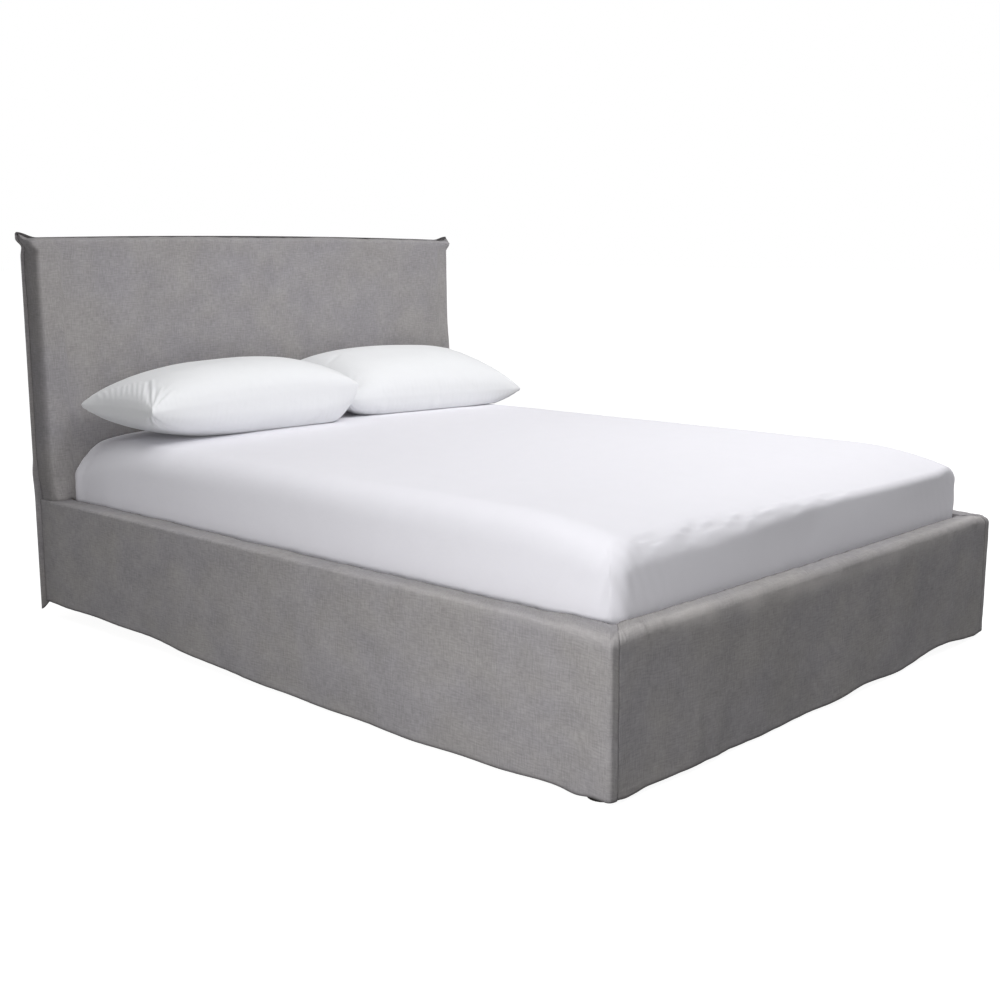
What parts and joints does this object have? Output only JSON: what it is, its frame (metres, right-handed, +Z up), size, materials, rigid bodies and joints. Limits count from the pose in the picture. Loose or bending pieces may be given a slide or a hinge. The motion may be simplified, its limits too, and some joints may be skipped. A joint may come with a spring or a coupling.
{
  "type": "bedding set on a slipcovered bed",
  "caption": "Fitted sheet and filled pillows on a bed whose headboard and rails wear a loose linen cover hanging almost to the floor.",
  "frame": {"origin": "on the floor under the middle of the bed", "axes": "+Z up, -Y towards the foot of the bed, +Y towards the headboard, +X to the right for someone at the foot looking at the headboard"},
  "size_m": [1.73, 2.1716, 1.1311],
  "materials": {
    "linen_cover": "washed mid-grey linen, matt, faintly slubbed",
    "sheet": "white cotton percale, smooth and matt",
    "pillowcase": "white cotton percale, softly creased",
    "mattress": "plain woven ticking",
    "timber": "sawn pine, eased edges",
    "feet": "turned beech, stained near black"
  },
  "bodies": {
    "root": {"cover_headboard": "linen_cover", "cover_back": "linen_cover", "cover_side_left": "linen_cover", "cover_side_right": "linen_cover", "cover_foot": "linen_cover", "fitted_sheet": "sheet", "pillow_left": "pillowcase", "pillow_right": "pillowcase", "mattress": "mattress", "headboard_board": "timber", "head_rail": "timber", "foot_rail": "timber", "side_rail_left": "timber", "side_rail_right": "timber", "cleat_left": "timber", "cleat_right": "timber", "middle_beam": "timber", "slat_01": "timber", "slat_02": "timber", "slat_03": "timber", "slat_04": "timber", "slat_05": "timber", "slat_06": "timber", "slat_07": "timber", "slat_08": "timber", "slat_09": "timber", "slat_10": "timber", "slat_11": "timber", "foot_front_left": "feet", "foot_front_right": "feet", "foot_back_left": "feet", "foot_back_right": "feet", "foot_middle": "feet"}
  },
  "joints": []
}
